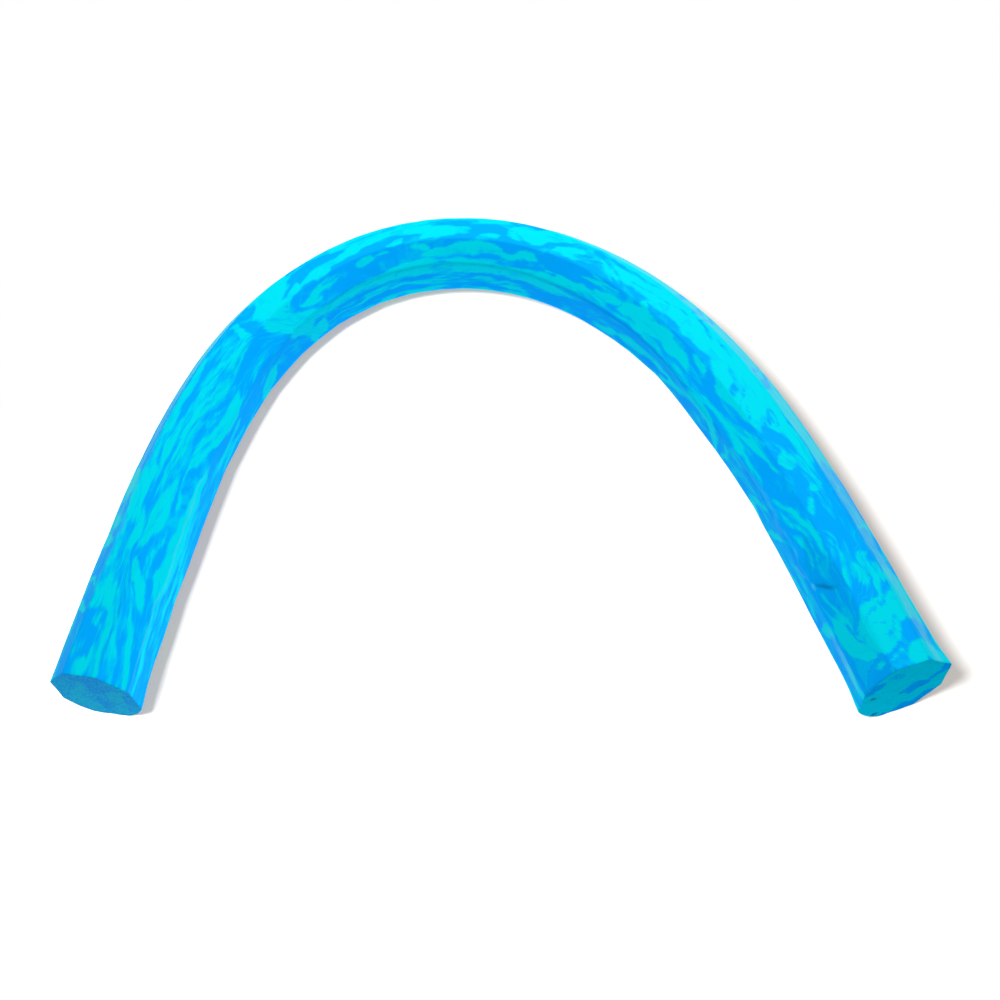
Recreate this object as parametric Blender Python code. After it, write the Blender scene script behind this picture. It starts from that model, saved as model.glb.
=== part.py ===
"""Pool noodle: one solid eight-sided bar of marbled foam, bent into a wide arch and lying on one flat.

Metres, +Z up. The bar is made the way the real one is: straight and eight-sided as it leaves the
die, sawn across at both ends, then bent. The bend squeezes the inner side, which swells and creases.
The origin is at the middle of the footprint, on the ground. The two ends lie on a line along X, and
the arch opens towards -Y.
"""
import math

import bmesh
import bpy
import numpy as np
from mathutils import Matrix, Vector

# The bar as it leaves the die
LENGTH = 1.400
ACROSS_FLATS = 0.076
EDGE_RADIUS = 0.003
SIDES = 8
EDGE_STEPS = 2
STATIONS = 90

# The saw cuts: turned about the upright, tipped back at the top, and the rounding of their rims
LEFT_CUT_TURN = math.radians(2.6)
LEFT_CUT_TIP = math.radians(4.2)
RIGHT_CUT_TURN = math.radians(1.2)
RIGHT_CUT_TIP = math.radians(7.4)
RIM_RADIUS = 0.001
RIM_STEPS = 2

# The arch: each bend's turn, then its middle and its spread as shares of the length
BENDS_WITH_SHARES = (
    (math.radians(137.7), 0.440, 0.150),
    (math.radians(19.6), 0.737, 0.096),
)
LAW_STEPS = 2000

# The squeezed side: how much taller its upright flat grows at each corner where the bend is tightest,
# the creases pressed into it, and the long run that stays full between the last two of them
INNER_SWELL = 0.0042
CREASE_DEPTH = 0.0015
CREASE_REACH = 0.022
CREASE_PLACE_AND_DEPTH_SHARES = (
    (0.030, 0.7),
    (0.077, 0.8),
    (0.189, 0.4),
    (0.320, 0.9),
    (0.410, 1.0),
    (0.671, 0.4),
    (0.703, 0.7),
    (0.846, 1.0),
)
FULL_RUN_RISE = 0.0018
FULL_RUN_REACH = 0.050
FULL_RUN_PLACE_SHARE = 0.768

# The foam's middle colour between its blue and cyan streaks
FOAM_COLOUR = (0.0, 0.560, 0.930, 1.0)
FOAM_ROUGHNESS = 0.55

HALF_ACROSS = ACROSS_FLATS / 2
HALF_FLAT = HALF_ACROSS * math.tan(math.pi / SIDES)
CORNER_RADIUS = HALF_ACROSS / math.cos(math.pi / SIDES)


def clear_scene():
    """Remove whatever the scene holds."""
    for old in list(bpy.data.objects):
        bpy.data.objects.remove(old, do_unlink=True)


def extruded_bar():
    """The bar from the die, along X and overlong, with a flat below and its long edges rounded."""
    bar = bmesh.new()
    bmesh.ops.create_cone(
        bar,
        cap_ends=True,
        segments=SIDES,
        radius1=CORNER_RADIUS,
        radius2=CORNER_RADIUS,
        depth=LENGTH + 2 * ACROSS_FLATS,
    )
    flat_down = Matrix.Rotation(math.pi / SIDES, 3, "Z")
    along_x = Matrix.Rotation(math.pi / 2, 3, "Y")
    bmesh.ops.rotate(bar, verts=bar.verts, cent=(0, 0, 0), matrix=along_x @ flat_down)
    long_edges = [edge for edge in bar.edges if runs_along(edge)]
    bmesh.ops.bevel(
        bar,
        geom=long_edges,
        offset=EDGE_RADIUS * math.tan(math.pi / SIDES),
        offset_type="OFFSET",
        segments=EDGE_STEPS,
        profile=0.5,
        affect="EDGES",
        clamp_overlap=True,
        material=-1,
    )
    return bar


def runs_along(edge):
    """True for an edge that runs along the straight bar."""
    start, end = (vert.co for vert in edge.verts)
    return abs(end.x - start.x) > ACROSS_FLATS


def mark_stations(bar):
    """Ring the straight bar with the sections at which it can bend."""
    for step in range(1, STATIONS):
        place = LENGTH * (step / STATIONS - 0.5)
        cut_through(bar, Vector((place, 0, 0)), Vector((1, 0, 0)), False)


def cut_through(bar, point, normal, sawn_off):
    """Cut the bar by a plane, and take off what lies in front of it if it is sawn off."""
    everything = list(bar.verts) + list(bar.edges) + list(bar.faces)
    cut = bmesh.ops.bisect_plane(
        bar,
        geom=everything,
        dist=RIM_RADIUS / STATIONS,
        plane_co=point,
        plane_no=normal,
        clear_outer=sawn_off,
    )
    return [item for item in cut["geom_cut"] if isinstance(item, bmesh.types.BMEdge)]


def saw_end(bar, side, turn, tip):
    """Saw one end off along its slanted plane, close it, and round its rim. Side is -1 or 1."""
    outward = Vector((side, math.tan(turn), math.tan(tip))).normalized()
    rim = cut_through(bar, Vector((side * LENGTH / 2, 0, 0)), outward, True)
    bmesh.ops.edgeloop_fill(bar, edges=rim)
    bmesh.ops.recalc_face_normals(bar, faces=bar.faces)
    bmesh.ops.bevel(
        bar,
        geom=rim,
        offset=RIM_RADIUS,
        offset_type="OFFSET",
        segments=RIM_STEPS,
        profile=0.5,
        affect="EDGES",
        clamp_overlap=True,
        material=-1,
    )


def smooth_step_share(share, place, spread):
    """How much of one bend is done at this share of the length, from 0 to 1."""
    return 0.5 * (1 + math.erf((share - place) / (spread * math.sqrt(2))))


def bent_middle_line():
    """The middle line of the arch: distance along it, x, y and heading, a little past both ends."""
    along = np.linspace(-ACROSS_FLATS, LENGTH + ACROSS_FLATS, LAW_STEPS + 1)
    total_turn = sum(turn for turn, _, _ in BENDS_WITH_SHARES)
    heading = np.full(len(along), total_turn / 2)
    for turn, place, spread in BENDS_WITH_SHARES:
        heading -= [turn * smooth_step_share(s / LENGTH, place, spread) for s in along]
    step = along[1] - along[0]
    mean_heading = (heading[1:] + heading[:-1]) / 2
    x = np.concatenate(([0], np.cumsum(np.cos(mean_heading) * step)))
    y = np.concatenate(([0], np.cumsum(np.sin(mean_heading) * step)))
    return along, x, y, heading


def squeeze_inner_side(bar, line):
    """Swell and crease the inner side of the straight bar as the bend will squeeze it."""
    along, _, _, heading = line
    tightness = -np.gradient(heading, along)
    tightness = tightness / tightness.max()
    for vert in bar.verts:
        place = vert.co.x + LENGTH / 2
        inward = -vert.co.y
        swell = INNER_SWELL * np.interp(place, along, tightness)
        past_flat = min(max((inward - HALF_FLAT) / (HALF_ACROSS - HALF_FLAT), 0), 1)
        up_or_down = min(max(vert.co.z / HALF_FLAT, -1), 1)
        squeezed = max(inward / HALF_ACROSS, 0) ** 2
        vert.co.z += swell * past_flat * up_or_down
        vert.co.y += squeezed * inner_hollow(place)


def inner_hollow(place):
    """How far the inner side is pressed in at this distance along the bar; below 0 it stands full."""
    hollow = 0
    for place_share, depth_share in CREASE_PLACE_AND_DEPTH_SHARES:
        distance = abs(place - place_share * LENGTH)
        hollow += CREASE_DEPTH * depth_share * math.exp(-distance / CREASE_REACH)
    distance = (place - FULL_RUN_PLACE_SHARE * LENGTH) / FULL_RUN_REACH
    return hollow - FULL_RUN_RISE * math.exp(-distance ** 2)


def bend_into_arch(bar, line):
    """Carry every point of the straight bar onto the bent middle line."""
    along, x, y, heading = line
    for vert in bar.verts:
        place = vert.co.x + LENGTH / 2
        outward = vert.co.y
        turned = np.interp(place, along, heading)
        vert.co.x = np.interp(place, along, x) - math.sin(turned) * outward
        vert.co.y = np.interp(place, along, y) + math.cos(turned) * outward


def seat_on_ground(bar, line):
    """Turn the line between the ends to run along X, and put the footprint's middle at the origin."""
    along, x, y, _ = line
    left = Vector((np.interp(0, along, x), np.interp(0, along, y), 0))
    right = Vector((np.interp(LENGTH, along, x), np.interp(LENGTH, along, y), 0))
    turn_back = (right - left).rotation_difference(Vector((1, 0, 0))).to_matrix()
    bmesh.ops.rotate(bar, verts=bar.verts, cent=(0, 0, 0), matrix=turn_back)
    middle = [(min(values) + max(values)) / 2 for values in zip(*(vert.co for vert in bar.verts))]
    bmesh.ops.translate(bar, verts=bar.verts, vec=(-middle[0], -middle[1], HALF_ACROSS))


def foam_material():
    """Closed-cell foam, in the middle colour of its marbling."""
    foam = bpy.data.materials.new("marbled_foam")
    foam.use_nodes = True
    surface = foam.node_tree.nodes["Principled BSDF"]
    surface.inputs["Base Color"].default_value = FOAM_COLOUR
    surface.inputs["Roughness"].default_value = FOAM_ROUGHNESS
    surface.inputs["Metallic"].default_value = 0.0
    return foam


def foam_noodle():
    """The whole noodle: extruded, sawn, squeezed and bent."""
    line = bent_middle_line()
    bar = extruded_bar()
    mark_stations(bar)
    saw_end(bar, -1, LEFT_CUT_TURN, LEFT_CUT_TIP)
    saw_end(bar, 1, RIGHT_CUT_TURN, RIGHT_CUT_TIP)
    squeeze_inner_side(bar, line)
    bend_into_arch(bar, line)
    seat_on_ground(bar, line)
    bmesh.ops.recalc_face_normals(bar, faces=bar.faces)
    mesh = bpy.data.meshes.new("foam_noodle")
    bar.to_mesh(mesh)
    bar.free()
    mesh.materials.append(foam_material())
    mesh.shade_smooth()
    mesh.set_sharp_from_angle(angle=math.radians(30))
    return bpy.data.objects.new("foam_noodle", mesh)


def main():
    clear_scene()
    collection = bpy.data.collections.new("pool_noodle")
    bpy.context.scene.collection.children.link(collection)
    noodle = foam_noodle()
    collection.objects.link(noodle)
    bpy.context.view_layer.update()
    size = noodle.dimensions
    print("pool noodle", [round(value, 4) for value in size], len(noodle.data.polygons), "faces")


main()
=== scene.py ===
# %% [markdown]
# A pool noodle, dressed
#
# The object is one bar of soft foam. It has eight flat sides, two colours that run through each other
# like marbled paper, and two ends sawn across by hand. It lies on the ground, bent into a wide arch.
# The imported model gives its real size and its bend. This lesson makes the fine surface around it.

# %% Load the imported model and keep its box
import math
import random

import bmesh
import bpy
import numpy as np
from mathutils import Matrix, Vector


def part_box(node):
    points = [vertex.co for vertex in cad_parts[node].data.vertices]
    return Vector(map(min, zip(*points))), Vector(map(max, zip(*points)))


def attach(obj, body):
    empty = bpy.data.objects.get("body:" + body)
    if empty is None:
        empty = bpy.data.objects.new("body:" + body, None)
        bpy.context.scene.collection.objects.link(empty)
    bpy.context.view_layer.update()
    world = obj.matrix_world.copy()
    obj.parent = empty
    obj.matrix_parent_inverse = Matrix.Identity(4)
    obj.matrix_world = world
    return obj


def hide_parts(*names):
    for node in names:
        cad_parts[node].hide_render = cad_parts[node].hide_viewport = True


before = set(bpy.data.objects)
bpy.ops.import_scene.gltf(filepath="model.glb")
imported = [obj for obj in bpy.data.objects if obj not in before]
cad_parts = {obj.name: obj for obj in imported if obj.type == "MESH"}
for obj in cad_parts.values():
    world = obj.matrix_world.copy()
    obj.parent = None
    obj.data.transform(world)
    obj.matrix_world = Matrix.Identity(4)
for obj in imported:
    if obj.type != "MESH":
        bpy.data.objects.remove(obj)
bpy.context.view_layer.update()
cad_low, cad_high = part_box("foam_noodle")
print("packed noodle", [round(value, 4) for value in cad_high - cad_low], "m")

# %% [markdown]
# The sizes of the bar
#
# A real noodle leaves the die straight. It is cut to length, and only then bent by hand. So every
# size is given for the straight bar: how long it is, how far it is across its flats, how crisp its
# long edges are. The fine mesh needs a few more, such as how close together its rings stand.

# %% Sizes of the straight bar, in metres
LENGTH = 1.400
ACROSS_FLATS = 0.076
SIDES = 8
HALF_ACROSS = ACROSS_FLATS / 2
HALF_FLAT = HALF_ACROSS * math.tan(math.pi / SIDES)
FLAT = 2 * HALF_FLAT
ROUND_THE_BAR = SIDES * FLAT
EDGE_RADIUS = 0.0026
EDGE_STEPS = 3
INNER_EDGE_RADIUS = 0.0070
INNER_EDGE_STEPS = 5
RIM_RADIUS = 0.0010
RIM_STEPS = 2
RINGS = 640
COLUMNS = 13
SAWN_GRID = 0.0011
SAWN_MATERIAL = 1
TOUCHING = 1e-6
SQUARE_ON = 1e-4
print("one flat is", round(FLAT * 1000, 1), "mm wide")

# %% [markdown]
# The bar as it leaves the die
#
# The noodle is an eight-sided prism. A cone primitive with equal ends gives the prism, a bevel rounds
# its eight long edges, and a smaller bevel takes the sharpness off the two sawn rims. The two edges
# on the inside of the bend get a wider round, so that the shade turns softly there. All bevels come
# while the bar has only a few long faces, where they can't collide with small ones.

# %% An eight-sided prism along X, one flat down, edges rounded
def bar_from_the_die():
    bar = bmesh.new()
    corner = HALF_ACROSS / math.cos(math.pi / SIDES)
    bmesh.ops.create_cone(
        bar, cap_ends=True, segments=SIDES, radius1=corner, radius2=corner, depth=LENGTH
    )
    flat_down = Matrix.Rotation(math.pi / SIDES, 3, "Z")
    along_x = Matrix.Rotation(math.pi / 2, 3, "Y")
    bmesh.ops.rotate(bar, verts=bar.verts, cent=(0, 0, 0), matrix=along_x @ flat_down)
    return bar


def runs_along(edge):
    start, end = (vert.co for vert in edge.verts)
    return abs(end.x - start.x) > LENGTH / 2


def round_over(bar, edges, offset, steps):
    bmesh.ops.bevel(
        bar, geom=edges, offset=offset, offset_type="OFFSET", segments=steps, profile=0.5,
        affect="EDGES", clamp_overlap=True, material=-1,
    )


def is_inner(edge):
    return edge.verts[0].co.y < -(HALF_FLAT + HALF_ACROSS) / 2


def at_an_end(vert):
    return abs(abs(vert.co.x) - LENGTH / 2) < TOUCHING


bar = bar_from_the_die()
crisp_edges = [edge for edge in bar.edges if runs_along(edge) and not is_inner(edge)]
round_over(bar, crisp_edges, EDGE_RADIUS * math.tan(math.pi / SIDES), EDGE_STEPS)
inner_edges = [edge for edge in bar.edges if runs_along(edge) and is_inner(edge)]
round_over(bar, inner_edges, INNER_EDGE_RADIUS * math.tan(math.pi / SIDES), INNER_EDGE_STEPS)
rim_edges = [edge for edge in bar.edges if all(at_an_end(vert) for vert in edge.verts)]
round_over(bar, rim_edges, RIM_RADIUS, RIM_STEPS)
print("prism:", len(bar.faces), "faces,", len(rim_edges), "rim edges rounded")

# %% [markdown]
# A skin fine enough to bend
#
# Long faces can't follow a curve, and they can't carry small dents. Subdividing the short edges
# of each flat gives columns along the bar, and subdividing the long edges gives rings across it.
# The two sawn faces are taken off first and closed again afterwards, so each gets its own fine grid:
# an inset ring that guards the rim, then straight cuts both ways.

# %% Columns and rings on the skin
def on_a_sawn_face(face):
    return abs(abs(face.normal.x) - 1) < SQUARE_ON and len(face.verts) > 4


sawn = [face for face in bar.faces if on_a_sawn_face(face)]
bmesh.ops.delete(bar, geom=sawn, context="FACES_ONLY")
across = [
    edge for edge in bar.edges
    if abs(edge.verts[0].co.x - edge.verts[1].co.x) < TOUCHING and edge.calc_length() > HALF_FLAT
]
bmesh.ops.subdivide_edges(bar, edges=across, cuts=COLUMNS - 1, use_grid_fill=True)
lengthwise = [edge for edge in bar.edges if runs_along(edge)]
bmesh.ops.subdivide_edges(bar, edges=lengthwise, cuts=RINGS - 1, use_grid_fill=True)
print("skin:", len(bar.faces), "faces")


# %% Close the two ends and grid them
def close_and_grid(bar, side):
    rim = [
        edge for edge in bar.edges
        if edge.is_boundary and edge.verts[0].co.x * side > 0 and edge.verts[1].co.x * side > 0
    ]
    face = bmesh.ops.edgeloop_fill(bar, edges=rim)["faces"][0]
    ring = bmesh.ops.inset_region(bar, faces=[face], thickness=SAWN_GRID, use_even_offset=True)
    inside = [face]
    steps = int(HALF_ACROSS / SAWN_GRID)
    for normal in (Vector((0, 1, 0)), Vector((0, 0, 1))):
        for step in range(-steps, steps + 1):
            geometry = list({vert for f in inside for vert in f.verts})
            geometry += list({edge for f in inside for edge in f.edges}) + inside
            cut = bmesh.ops.bisect_plane(
                bar, geom=geometry, dist=TOUCHING, plane_co=normal * (step * SAWN_GRID), plane_no=normal
            )
            inside = [item for item in cut["geom"] if isinstance(item, bmesh.types.BMFace)]
    for f in inside + ring["faces"]:
        f.material_index = SAWN_MATERIAL
    return inside


for side in (-1, 1):
    grid = close_and_grid(bar, side)
    print("sawn face", side, "has", len(grid), "faces")
bmesh.ops.recalc_face_normals(bar, faces=bar.faces)

# %% [markdown]
# From mesh to numbers
#
# The remaining steps move every point a little, so they work on one table of points: along the bar,
# outwards and up, with the bar still straight. Two numbers place a point on the unrolled skin: its
# share of the length, and how many flats it lies round from the outer edge of the top flat.

# %% The straight bar's own coordinates
FLAT_ANGLE = 360 / SIDES
OUTER_RIDGE_ANGLE = 90 - FLAT_ANGLE / 2

mesh = bpy.data.meshes.new("foam_skin")
bar.to_mesh(mesh)
bar.free()
straight = np.zeros(len(mesh.vertices) * 3)
mesh.vertices.foreach_get("co", straight)
straight = straight.reshape(-1, 3)


def flats_round(points):
    angle = np.degrees(np.arctan2(points[:, 2], points[:, 1]))
    flat = np.floor((angle - OUTER_RIDGE_ANGLE) / FLAT_ANGLE)
    middle = np.radians(OUTER_RIDGE_ANGLE + FLAT_ANGLE * (flat + 0.5))
    sideways = points[:, 2] * np.cos(middle) - points[:, 1] * np.sin(middle)
    return np.mod(flat + 0.5 + sideways / FLAT, SIDES)


round_share = flats_round(straight)
place_share = straight[:, 0] / LENGTH + 0.5
which_cut = np.zeros(len(straight))
for polygon in mesh.polygons:
    if polygon.material_index == SAWN_MATERIAL:
        which_cut[list(polygon.vertices)] = math.copysign(1, polygon.center.x)
print(len(straight), "points,", int((which_cut != 0).sum()), "of them on the sawn faces")

# %% [markdown]
# Marbling
#
# The two colours are fed into the extruder together and barely mixed. They come out as long streaks
# that lie along the bar, fold over each other and fan out where the flow swerved. A plain noise
# texture gives streaks, but not this bar's own large figures. So the figures are painted: each is one
# brush stroke on the unrolled skin, given by its colour, its half width in flats, and the places it
# passes, as shares of the length and flats round. Later strokes lie over earlier ones.

# %% The large figures, in the order in which they are laid
LIGHT = 1.2
MORE_LIGHT = 0.45
EVEN = 0.0
MORE_DARK = -0.6
DARK = -1.0
PLAIN_DARK = -1.8
GROUND_STROKES_WITH_SHARES = (
    (DARK, 1.95, (-1.50, 1.30), (0.00, 1.30), (1.00, 1.30), (2.50, 1.30)),
    (MORE_DARK, 0.50, (-0.02, 1.20), (0.03, 1.15), (0.055, 0.95), (0.080, 0.75)),
    (EVEN, 0.36, (0.040, 0.25), (0.070, 0.30), (0.100, 0.35), (0.130, 0.40)),
    (EVEN, 0.26, (0.125, 0.85), (0.160, 0.90), (0.200, 1.00), (0.250, 1.25)),
    (EVEN, 0.40, (0.225, 0.60), (0.255, 0.75), (0.292, 1.00)),
    (MORE_DARK, 0.26, (0.245, 0.35), (0.265, 0.38), (0.286, 0.40)),
    (EVEN, 0.26, (0.345, 0.20), (0.390, 0.14), (0.450, 0.10), (0.570, 0.12)),
    (MORE_DARK, 0.25, (0.340, 1.75), (0.370, 1.60), (0.400, 1.40)),
    (MORE_DARK, 0.45, (0.500, 0.70), (0.530, 0.70)),
    (EVEN, 0.40, (0.575, 0.60), (0.600, 0.50), (0.640, 0.40)),
    (MORE_DARK, 0.30, (0.600, 0.75), (0.620, 0.80), (0.650, 0.90)),
    (MORE_DARK, 0.25, (0.610, 1.20), (0.630, 1.20), (0.655, 1.30)),
    (EVEN, 0.16, (0.600, 1.75), (0.650, 1.80), (0.700, 1.85), (0.760, 1.95)),
    (MORE_DARK, 0.22, (0.755, 1.75), (0.790, 1.60), (0.840, 1.50)),
    (MORE_DARK, 0.30, (0.845, 1.85), (0.875, 1.65), (0.920, 1.55)),
    (MORE_DARK, 0.20, (0.900, 0.75), (0.925, 0.80), (0.945, 0.90)),
    (MORE_DARK, 0.40, (0.300, 2.50), (0.400, 2.60), (0.500, 2.60), (0.570, 2.50)),
    (MORE_DARK, 0.40, (0.640, 2.60), (0.720, 2.50), (0.800, 2.40), (0.880, 2.40), (0.960, 2.50)),
    (MORE_DARK, 0.30, (0.010, 2.60), (0.060, 2.50), (0.130, 2.50), (0.230, 2.60)),
)
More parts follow.
